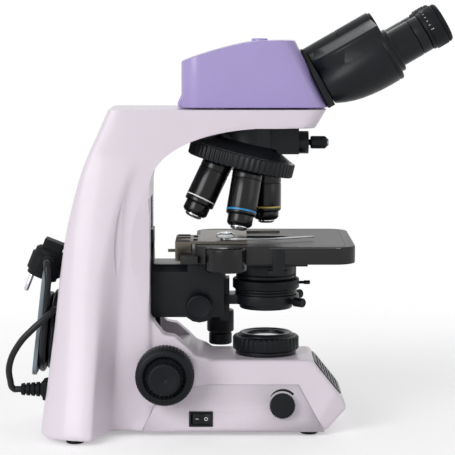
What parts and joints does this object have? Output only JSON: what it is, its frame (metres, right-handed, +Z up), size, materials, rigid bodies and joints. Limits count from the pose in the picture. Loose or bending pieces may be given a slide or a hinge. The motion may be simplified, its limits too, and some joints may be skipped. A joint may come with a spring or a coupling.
{
  "type": "binocular compound light microscope",
  "caption": "Upright laboratory microscope with a tilted binocular head, revolving nosepiece, mechanical stage, condenser, built-in lamp, coaxial focusing and its mains cord wound behind the column.",
  "frame": {"origin": "centre of the microscope's own box, without its cord, on the table it stands on", "axes": "+X towards the user and the eyepieces, +Y to the user's right, +Z up"},
  "size_m": [0.4396, 0.208, 0.4225],
  "materials": {
    "enamel": "fine-textured pinkish-white enamel on a hollow casting",
    "lilac_enamel": "smooth lilac enamel on a thin casting",
    "black_enamel": "satin blue-black enamel",
    "anodised": "satin black anodised, turned",
    "objective_metal": "black lacquered barrel with a coloured ring and a chrome nose",
    "aluminium": "plain machined",
    "steel": "ground",
    "chrome": "polished",
    "stage_finish": "matte dark grey coating",
    "holder_grey": "satin grey",
    "black_plastic": "moulded, lightly textured",
    "knob_rubber": "moulded, with finger grips",
    "fine_knob": "satin dark grey",
    "foot_rubber": "matte",
    "eyecup_rubber": "soft matte",
    "lens_glass": "clear, coated",
    "hanger_grey": "smooth light grey",
    "cord_sheath": "soft black sheath"
  },
  "bodies": {
    "stand": {"stand_frame": "enamel", "base_cover": "enamel", "front_grille": "black_plastic", "switch_bezel": "black_plastic", "power_inlet": "black_plastic", "rear_foot_left": "foot_rubber", "rear_foot_right": "foot_rubber", "front_foot_left": "foot_rubber", "front_foot_right": "foot_rubber", "field_lens_mount": "anodised", "field_lens": "lens_glass", "led_module": "aluminium", "focus_rail": "steel", "nosepiece_mount": "black_enamel", "cord_hanger": "hanger_grey", "cord_lead": "cord_sheath", "cord_hank": "cord_sheath", "cord_tail": "cord_sheath", "cord_connector": "cord_sheath", "mains_plug": "cord_sheath"},
    "rocker": {"power_rocker": "black_plastic"},
    "dimmer": {"brightness_knob": "knob_rubber"},
    "field_diaphragm": {"field_ring": "anodised"},
    "clamp": {"clamp_knob": "anodised"},
    "coarse_drive": {"coarse_shaft": "steel", "coarse_knob_left": "knob_rubber", "coarse_knob_right": "knob_rubber"},
    "fine_drive": {"fine_shaft": "fine_knob", "fine_knob_left": "fine_knob"},
    "carriage": {"focus_carrier": "black_enamel", "stage_bed": "black_enamel"},
    "table": {"stage_table": "stage_finish"},
    "holder": {"slide_holder": "holder_grey"},
    "finger": {"spring_finger": "steel"},
    "finger_nut": {"holder_nut": "chrome"},
    "table_knob": {"stage_upper_knob": "knob_rubber"},
    "holder_knob": {"stage_lower_knob": "knob_rubber"},
    "condenser": {"condenser_carrier": "black_enamel", "condenser_body": "anodised"},
    "condenser_drive": {"condenser_knob": "knob_rubber"},
    "aperture": {"aperture_ring": "anodised"},
    "centring_left": {"centring_screw_left": "anodised"},
    "centring_right": {"centring_screw_right": "anodised"},
    "nosepiece": {"turret": "anodised", "objective_4x": "objective_metal", "objective_10x": "objective_metal", "objective_40x": "objective_metal", "objective_100x": "objective_metal", "port_cap": "black_plastic"},
    "head": {"head_dovetail": "steel", "head_housing": "lilac_enamel", "front_plate": "black_enamel"},
    "left_tube": {"prism_housing_left": "black_enamel", "eyepiece_left": "anodised"},
    "right_tube": {"prism_housing_right": "black_enamel", "eyepiece_right": "anodised"},
    "left_diopter": {"diopter_ring_left": "knob_rubber", "eyecup_left": "eyecup_rubber"},
    "right_diopter": {"diopter_ring_right": "knob_rubber", "eyecup_right": "eyecup_rubber"}
  },
  "joints": [
    {"name": "rocker_tip", "type": "hinge", "parent": "stand", "child": "rocker", "pos_m": [-0.0395, -0.05165, 0.0159], "axis": [0, 0.2338, 0.9723], "range_deg": [-12.8, 0]},
    {"name": "dimmer_turn", "type": "hinge", "parent": "stand", "child": "dimmer", "pos_m": [0.0405, -0.05158, 0.029], "axis": [0, -0.9723, 0.2338], "range_deg": [-140, 140]},
    {"name": "field_ring_turn", "type": "hinge", "parent": "stand", "child": "field_diaphragm", "pos_m": [0.0252, 0, 0.085], "axis": [0, 0, 1], "range_deg": [-50, 50]},
    {"name": "clamp_turn", "type": "hinge", "parent": "stand", "child": "clamp", "pos_m": [0.075, 0, 0.2856], "axis": [1, 0, 0], "range_deg": [-360, 360]},
    {"name": "focus_lift", "type": "slide", "parent": "stand", "child": "carriage", "axis": [0, 0, 1], "range_m": [-0.016, 0.002]},
    {"name": "coarse_turn", "type": "hinge", "parent": "stand", "child": "coarse_drive", "pos_m": [-0.07429, 0, 0.063], "axis": [0, 1, 0], "range_deg": [-165, 35]},
    {"name": "fine_turn", "type": "hinge", "parent": "stand", "child": "fine_drive", "pos_m": [-0.07429, 0, 0.063], "axis": [0, 1, 0], "continuous": true},
    {"name": "table_fore_aft", "type": "slide", "parent": "carriage", "child": "table", "axis": [1, 0, 0], "range_m": [-0.008, 0.036]},
    {"name": "holder_across", "type": "slide", "parent": "table", "child": "holder", "axis": [0, 1, 0], "range_m": [-0.038, 0.038]},
    {"name": "table_knob_turn", "type": "hinge", "parent": "table", "child": "table_knob", "pos_m": [-0.0208, 0.0735, 0.1], "axis": [0, 0, 1], "range_deg": [-70, 270]},
    {"name": "holder_knob_turn", "type": "hinge", "parent": "table", "child": "holder_knob", "pos_m": [-0.0208, 0.0735, 0.08], "axis": [0, 0, 1], "range_deg": [-280, 280]},
    {"name": "finger_swing", "type": "hinge", "parent": "holder", "child": "finger", "pos_m": [-0.0153, -0.042, 0.1935], "axis": [0, 0, -1], "range_deg": [0, 24], "stiffness_Nm_per_rad": 0.02, "springref_deg": -17.19},
    {"name": "nut_turn", "type": "hinge", "parent": "holder", "child": "finger_nut", "pos_m": [-0.0153, -0.042, 0.197], "axis": [0, 0, 1], "range_deg": [-360, 360]},
    {"name": "condenser_lift", "type": "slide", "parent": "carriage", "child": "condenser", "axis": [0, 0, 1], "range_m": [-0.008, 0]},
    {"name": "condenser_knob_turn", "type": "hinge", "parent": "carriage", "child": "condenser_drive", "pos_m": [-0.0413, -0.03, 0.126], "axis": [0, 1, 0], "range_deg": [-60, 3]},
    {"name": "aperture_turn", "type": "hinge", "parent": "condenser", "child": "aperture", "pos_m": [0.0252, 0, 0.145], "axis": [0, 0, 1], "range_deg": [-40, 40]},
    {"name": "centring_left_turn", "type": "hinge", "parent": "condenser", "child": "centring_left", "pos_m": [0.0252, 0, 0.1286], "axis": [0.7431, -0.6691, 0], "range_deg": [-360, 360]},
    {"name": "centring_right_turn", "type": "hinge", "parent": "condenser", "child": "centring_right", "pos_m": [0.0252, 0, 0.1286], "axis": [0.7431, 0.6691, 0], "range_deg": [-360, 360]},
    {"name": "nosepiece_turn", "type": "hinge", "parent": "stand", "child": "nosepiece", "pos_m": [0.0252, 0, 0.3677], "axis": [0.2419, 0, 0.9703], "continuous": true},
    {"name": "head_swivel", "type": "hinge", "parent": "stand", "child": "head", "pos_m": [0.0252, 0, 0.32], "axis": [0, 0, 1], "continuous": true},
    {"name": "left_tube_swing", "type": "hinge", "parent": "head", "child": "left_tube", "pos_m": [0.0703, 0, 0.3624], "axis": [-0.866, 0, -0.5], "range_deg": [-12, 18]},
    {"name": "right_tube_swing", "type": "hinge", "parent": "head", "child": "right_tube", "pos_m": [0.0703, 0, 0.3624], "axis": [0.866, 0, 0.5], "range_deg": [-12, 18]},
    {"name": "left_diopter_turn", "type": "hinge", "parent": "left_tube", "child": "left_diopter", "pos_m": [0.0833, -0.031, 0.3399], "axis": [0.866, 0, 0.5], "range_deg": [-150, 150]},
    {"name": "right_diopter_turn", "type": "hinge", "parent": "right_tube", "child": "right_diopter", "pos_m": [0.0833, 0.031, 0.3399], "axis": [0.866, 0, 0.5], "range_deg": [-150, 150]}
  ],
  "couplings": [
    {"joint": "coarse_turn", "follows": "focus_lift", "rad_per_m": 169.78},
    {"joint": "table_knob_turn", "follows": "table_fore_aft", "rad_per_m": 125},
    {"joint": "holder_knob_turn", "follows": "holder_across", "rad_per_m": 125},
    {"joint": "condenser_knob_turn", "follows": "condenser_lift", "rad_per_m": 125},
    {"joint": "left_tube_swing", "follows": "right_tube_swing", "ratio": 1}
  ]
}
